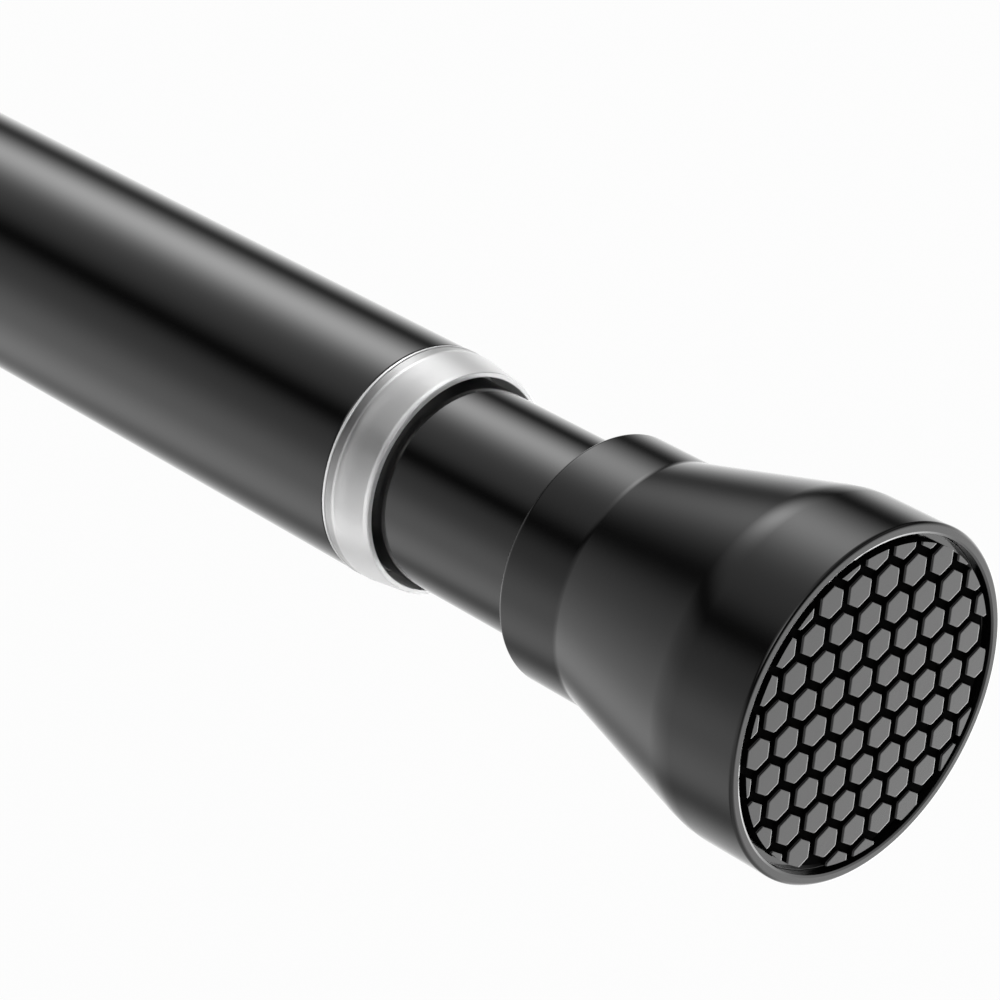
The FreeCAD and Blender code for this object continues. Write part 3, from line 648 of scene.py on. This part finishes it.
class Shaping(Graph):
    """A geometry tree on a piece: sizes come in by name and one mesh comes out."""

    def __init__(self, name, **sizes):
        tree = bpy.data.node_groups.new(name, "GeometryNodeTree")
        super().__init__(tree)
        tree.interface.new_socket("Geometry", in_out="OUTPUT", socket_type="NodeSocketGeometry")
        self.sizes = sizes
        for label, value in sizes.items():
            kind = "NodeSocketInt" if isinstance(value, int) else "NodeSocketFloat"
            tree.interface.new_socket(label, in_out="INPUT", socket_type=kind)
        entry = self.node("NodeGroupInput")
        self.given = {label: self.beside(entry, label) for label in sizes}

    def mesh(self, kind, settings=None, sockets=None, output=0):
        return self.node(f"GeometryNode{kind}", settings, sockets, output)

    def combined(self, x, y, z):
        return self.node("ShaderNodeCombineXYZ", None, {"X": x, "Y": y, "Z": z})

    def moved(self, shape, position):
        return self.mesh("SetPosition", None, {"Geometry": shape, "Position": position})

    def made(self, shape, material, second=None, where=None):
        """Close the tree, run it on an empty object, and keep what it gives as a plain mesh.

        A second material covers only the faces that a selection picks. The empty first slot that
        some shapes bring along is taken out.
        """
        realized = self.mesh("RealizeInstances", None, {"Geometry": shape})
        finished = self.mesh("SetMaterial", None, {"Geometry": realized, "Material": material})
        if second:
            finished = self.mesh("SetMaterial", None, {
                "Geometry": finished, "Selection": where, "Material": second})
        self.node("NodeGroupOutput", None, {"Geometry": finished})
        blank = bpy.data.meshes.new(self.tree.name)
        piece = bpy.data.objects.new(self.tree.name, blank)
        bpy.context.scene.collection.objects.link(piece)
        modifier = piece.modifiers.new("shaping", "NODES")
        modifier.node_group = self.tree
        for item in self.tree.interface.items_tree:
            if item.in_out == "INPUT":
                modifier[item.identifier] = self.sizes[item.name]
        piece.update_tag()
        bpy.context.view_layer.update()
        evaluated = piece.evaluated_get(bpy.context.evaluated_depsgraph_get())
        result = bpy.data.meshes.new_from_object(evaluated)
        piece.modifiers.remove(modifier)
        piece.data = result
        result.name = piece.name
        if not result.materials[0]:
            result.materials.pop(index=0)
        return piece


def upright_ribs(name, start, facing, **sizes):
    """Ribs evenly round the rod's axis, whose outer edge draws in behind the flare's depth."""
    shape = Shaping(name, **sizes)
    given = shape.given
    blank = shape.mesh("MeshCube", None, {"Size": (1, 1, 1), "Vertices X": CAP_RIB_STATIONS})
    along, across, upward = shape.apart(shape.mesh("InputPosition"))
    depth = given["front_depth"] + (0.5 - along) * (given["rear_depth"] - given["front_depth"])
    outer = given["outer_edge"] - (depth - given["flare_depth"]).most(0.0) * given["flare"]
    radius = given["inner_edge"] + (upward + 0.5) * (outer - given["inner_edge"])
    rib = shape.moved(blank, shape.combined(
        depth * -facing + start, across * given["thickness"] * facing, radius))
    turn = shape.mesh("InputIndex") * (2 * math.pi) / given["ribs"]
    ribs = shape.mesh("InstanceOnPoints", None, {
        "Points": shape.mesh("Points", None, {"Count": given["ribs"]}),
        "Instance": rib,
        "Rotation": shape.combined(turn, 0.0, 0.0)})
    return shape.made(ribs, finishes["cap_plastic"])


def rounded_tile(shape, flats):
    """One closed hexagonal tile that stands on its own origin, with a rounded upper edge."""
    given = shape.given
    hexagon = shape.mesh("CurvePrimitiveCircle", {"mode": "RADIUS"}, {
        "Resolution": HEXAGON_SIDES, "Radius": flats * (2 * HALF_SIDE_SHARE)})
    softened = shape.mesh("FilletCurve", {"mode": "POLY"}, {
        "Curve": hexagon, "Radius": given["corner_round"], "Count": TILE_CORNER_STEPS})
    foot = shape.mesh("FillCurve", {"mode": "NGONS"}, {"Curve": softened})
    wall = given["tile_top"] - given["pad_base"] + TILE_SINK - given["edge_round"]
    tile = shape.mesh("ExtrudeMesh", {"mode": "FACES"}, {
        "Mesh": foot, "Offset Scale": wall, "Individual": False})
    top = shape.beside(tile, "Top")
    last_rise, last_inset = 0.0, 0.0
    for step in range(1, TILE_EDGE_STEPS + 1):
        angle = math.pi / 2 * step / TILE_EDGE_STEPS
        rise, inset = math.sin(angle), 1 - math.cos(angle)
        lifted = shape.mesh("ExtrudeMesh", {"mode": "FACES"}, {
            "Mesh": tile, "Selection": top, "Individual": False,
            "Offset Scale": given["edge_round"] * (rise - last_rise)})
        top = shape.beside(lifted, "Top")
        narrower = flats / 2 - given["edge_round"] * inset
        wider = flats / 2 - given["edge_round"] * last_inset
        tile = shape.mesh("ScaleElements", {"domain": "FACE"}, {
            "Geometry": lifted, "Selection": top, "Scale": narrower / wider})
        last_rise, last_inset = rise, inset
    underside = shape.mesh("FlipFaces", None, {"Mesh": foot})
    both = shape.mesh("JoinGeometry", None, {"Geometry": [tile, underside]})
    return shape.mesh("MergeByDistance", None, {"Geometry": both, "Distance": WELD})


def make_pad(name, node, body, facing):
    """A rubber pad whose raised tiles have rounded edges and are cut by the pad's circle."""
    low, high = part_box(node)
    shape = Shaping(
        name,
        pad_radius=high.z,
        pad_base=PAD_BASE,
        tile_top=high.x - low.x,
        tile_pitch=TILE_PITCH,
        tile_groove=TILE_GROOVE,
        corner_round=TILE_CORNER_ROUND,
        edge_round=TILE_EDGE_ROUND,
    )
    given = shape.given
    flats = given["tile_pitch"] - given["tile_groove"]
    tile = rounded_tile(shape, flats)

    # A lattice whose rows run at 60 degrees, sheared from a square grid and turned as one.
    lines = 2 * math.ceil(2 * high.z / TILE_PITCH) + 1
    grid = shape.mesh("MeshGrid", None, {
        "Size X": lines - 1.0, "Size Y": lines - 1.0, "Vertices X": lines, "Vertices Y": lines})
    column, row, _ = shape.apart(shape.mesh("InputPosition"))
    slant = TILE_ROW_TURN + 2 * math.pi / HEXAGON_SIDES
    across = given["tile_pitch"] * (column * math.cos(TILE_ROW_TURN) + row * math.cos(slant))
    upward = given["tile_pitch"] * (column * math.sin(TILE_ROW_TURN) + row * math.sin(slant))
    spot = shape.combined(across + TILE_SHIFT_Y, upward + TILE_SHIFT_Z,
                          given["pad_base"] - TILE_SINK)
    lattice = shape.moved(grid, spot)
    reach = given["pad_radius"] + flats * (2 * HALF_SIDE_SHARE * TILE_LEAST_REACH)
    from_middle = shape.vector("LENGTH", shape.mesh("InputPosition"), output="Value")
    tiles = shape.mesh("RealizeInstances", None, {
        "Geometry": shape.mesh("InstanceOnPoints", None, {
            "Points": lattice, "Selection": from_middle.maths("LESS_THAN", from_middle, reach),
            "Instance": tile, "Rotation": (0, 0, TILE_ROW_TURN + math.pi / HEXAGON_SIDES)})})

    def disc(depth):
        blank = shape.mesh("MeshCylinder", None, {
            "Vertices": TURN_STEPS, "Radius": given["pad_radius"], "Depth": depth})
        return shape.mesh("Transform", None, {
            "Geometry": blank, "Translation": shape.combined(0.0, 0.0, depth / 2)})

    trimmed = shape.mesh("MeshBoolean", {"operation": "INTERSECT", "solver": "EXACT"}, {
        "Mesh 2": [disc(given["tile_top"] + PAD_BASE), tiles]})
    pad = shape.mesh("MeshBoolean", {"operation": "UNION", "solver": "EXACT"}, {
        "Mesh 2": [disc(given["pad_base"]), trimmed]})
    across, upward, outward = shape.apart(shape.mesh("InputPosition"))
    back = low.x if facing > 0 else high.x
    stood = shape.moved(pad, shape.combined(outward * facing + back, across * facing, upward))
    depth = (shape.apart(shape.mesh("InputPosition"))[0] - back) * facing
    # Painted shade: the faces below the tiles' rounded tops get the dark, nearly glossless rubber.
    groove_shade_mask = depth.maths("LESS_THAN", depth, given["tile_top"] - given["edge_round"])
    piece = shape.made(stood, finishes["pad_rubber"], groove_rubber, groove_shade_mask)
    finish_piece(piece, body, "pad_rubber", node)


def make_spring():
    """The compression spring: a wire wound with closed turns at its ends, which are ground."""
    shape = Shaping(
        "coiled_spring",
        rest_length=SPRING_REST,
        wire_radius=SPRING_WIRE,
        mean_radius=SPRING_MEAN,
        closed_rise=2 * SPRING_WIRE + SPRING_CLOSED_GAP,
        open_turns=SPRING_OPEN_TURNS,
    )
    given = shape.given
    turns = given["open_turns"] + SPRING_CLOSED_TURNS
    line = shape.mesh("CurvePrimitiveLine", {"mode": "POINTS"}, {"End": (1, 0, 0)})
    points = shape.mesh("ResampleCurve", None, {
        "Curve": line,
        "Count": (SPRING_OPEN_TURNS + SPRING_CLOSED_TURNS) * SPRING_POINTS_PER_TURN + 1})
    turn = shape.apart(shape.mesh("InputPosition"))[0] * turns
    open_length = given["rest_length"] - given["closed_rise"] * SPRING_CLOSED_TURNS
    open_rise = open_length / given["open_turns"]
    opened = turn.maths("SMOOTH_MAX", turn - SPRING_CLOSED_TURNS / 2, 0.0, SPRING_PITCH_CHANGE)
    opened = opened.maths("SMOOTH_MIN", opened, given["open_turns"], SPRING_PITCH_CHANGE)
    along = turn * given["closed_rise"] + opened * (open_rise - given["closed_rise"])
    angle = turn * (2 * math.pi)
    coil = shape.moved(points, shape.combined(
        along + SPRING_START,
        given["mean_radius"] * angle.maths("COSINE", angle),
        given["mean_radius"] * angle.maths("SINE", angle)))
    section = shape.mesh("CurvePrimitiveCircle", {"mode": "RADIUS"}, {
        "Resolution": SPRING_WIRE_SIDES, "Radius": given["wire_radius"]})
    wire = shape.mesh("CurveToMesh", None, {
        "Curve": coil, "Profile Curve": section, "Fill Caps": True})
    slab = shape.mesh("Transform", None, {
        "Geometry": shape.mesh("MeshCylinder", None, {
            "Vertices": SPRING_END_SIDES, "Radius": given["mean_radius"] * 2.0,
            "Depth": given["rest_length"]}),
        "Translation": (SPRING_START + SPRING_REST / 2, 0, 0), "Rotation": (0, math.pi / 2, 0)})
    ground = shape.mesh("MeshBoolean", {"operation": "INTERSECT", "solver": "EXACT"}, {
        "Mesh 2": [wire, slab]})
    piece = shape.made(ground, finishes["spring_steel"])
    piece.data.shade_smooth()
    piece.data.set_sharp_from_angle(angle=SHARP_EDGE)
    finish_piece(piece, "lock_core", "spring_steel", "compression_spring")
    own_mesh(piece)


def finish_cad_nodes():
    """Give every CAD node the finish that its slot in the record names."""
    for row in frame["record"]["subparts"]:
        mesh = frame["nodes"][row["node"]].data
        mesh.materials.clear()
        mesh.materials.append(finishes[row["material_slot"]])


def make_studio():
    """Strip lights round the rod, seen in its gloss, and a plain white surround."""
    world = bpy.data.worlds.new("studio")
    bpy.context.scene.world = world
    world.use_nodes = True
    graph = Graph(world.node_tree)
    graph.tree.nodes.clear()
    look = graph.node("ShaderNodeTexCoord", output="Generated")
    _, _, height = graph.apart(look)

    def strip(normal, width):
        return graph.dot(look, Vector(normal).normalized()).bell(width)

    glow = SURROUND
    for normal, width, depth in DARK_STRIPS:
        glow = (1 - strip(normal, width) * depth) * glow
    below = 1 - height.ramp(-LOW_STRIP_EDGE, LOW_STRIP_EDGE)
    glow = glow + strip(LOW_STRIP[0], LOW_STRIP[1]) * below * LOW_STRIP[2]
    raised = (height - KEY_HEIGHT).bell(KEY_SPREAD)
    glow = glow + strip(KEY_STRIP[0], KEY_STRIP[1]) * raised * KEY_STRIP[2]
    toward_panel = 1 - graph.dot(look, PANEL_SIDE.normalized())
    glow = glow + toward_panel.maths("EXPONENT", toward_panel * (-1 / PANEL_SPREAD)) * PANEL_GLOW
    glow = glow + (1 - graph.dot(look, CARD_SIDE.normalized())).bell(CARD_SPREAD) * CARD_GLOW
    glow = glow * (1 - (1 - graph.dot(look, DARK_END.normalized())).bell(DARK_END_SPREAD))
    seen = graph.seen()
    background = graph.node("ShaderNodeBackground", None, {
        "Color": (1, 1, 1, 1), "Strength": glow.most(0.0) * (1 - seen) + seen})
    graph.node("ShaderNodeOutputWorld", None, {"Surface": background})


def make_floor():
    """A pale floor under the rod, which the walls hold clear of it."""
    material = bpy.data.materials.new("studio_floor")
    material.use_nodes = True
    graph = Graph(material.node_tree)
    graph.tree.nodes.clear()
    matt = graph.node("ShaderNodeBsdfDiffuse", None, {"Color": grey(FLOOR_GREY) + (1,)})
    white = graph.node("ShaderNodeEmission", None, {"Color": (1, 1, 1, 1), "Strength": 1.0})
    clear = graph.node("ShaderNodeBsdfTransparent")
    seen = graph.seen()
    pale = graph.node("ShaderNodeMixShader", None, {0: seen * FLOOR_WHITE, 1: matt, 2: white})
    glossy = graph.node("ShaderNodeLightPath", output="Is Glossy Ray")
    surface = graph.node("ShaderNodeMixShader", None, {0: glossy, 1: pale, 2: clear})
    graph.node("ShaderNodeOutputMaterial", None, {"Surface": surface})
    corners = [(-1, -1), (1, -1), (1, 1), (-1, 1)]
    mesh = bpy.data.meshes.new("studio_floor")
    mesh.from_pydata([(x * FLOOR_REACH, y * FLOOR_REACH, -FLOOR_DROP) for x, y in corners],
                     [], [(0, 1, 2, 3)])
    mesh.materials.append(material)
    floor = bpy.data.objects.new("studio_floor", mesh)
    bpy.context.scene.collection.objects.link(floor)


def make_camera():
    data = bpy.data.cameras.new("camera")
    data.lens = CAMERA_LENS
    data.clip_end = CAMERA_REACH
    camera = bpy.data.objects.new("camera", data)
    bpy.context.scene.collection.objects.link(camera)
    near_rim = Vector((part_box("inner_cap")[1].x, 0, 0))
    camera.location = near_rim + CAMERA_STAND
    camera.rotation_euler = CAMERA_LOOK.to_track_quat("-Z", "Y").to_euler()
    bpy.context.scene.camera = camera


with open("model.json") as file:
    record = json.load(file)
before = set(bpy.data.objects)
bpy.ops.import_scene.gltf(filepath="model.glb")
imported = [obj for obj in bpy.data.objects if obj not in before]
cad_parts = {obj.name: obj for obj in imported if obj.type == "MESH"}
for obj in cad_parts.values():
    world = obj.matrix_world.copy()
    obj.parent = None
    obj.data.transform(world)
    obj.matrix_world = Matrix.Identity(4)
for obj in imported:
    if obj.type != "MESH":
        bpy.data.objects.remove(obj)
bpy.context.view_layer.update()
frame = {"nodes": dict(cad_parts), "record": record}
finishes = make_finishes()
groove_rubber = make_painted_groove_shade()
finish_cad_nodes()
make_tube("coated_outer_tube", "outer_tube", "outer_rod")
make_tube("coated_inner_tube", "inner_tube", "inner_rod")
make_mouth_ring()
make_cap("flared_outer_cap", "outer_cap", "outer_rod", "outer_tube", CAP_CAVITY_AT_OUTER_TUBE, -1)
make_cap("flared_inner_cap", "inner_cap", "inner_rod", "inner_tube", CAP_CAVITY_AT_INNER_TUBE, 1)
make_pad("outer_honeycomb_pad", "outer_pad", "outer_rod", -1)
make_pad("inner_honeycomb_pad", "inner_pad", "inner_rod", 1)
make_spring()
make_studio()
make_floor()
make_camera()
bpy.context.scene.view_settings.view_transform = "Standard"
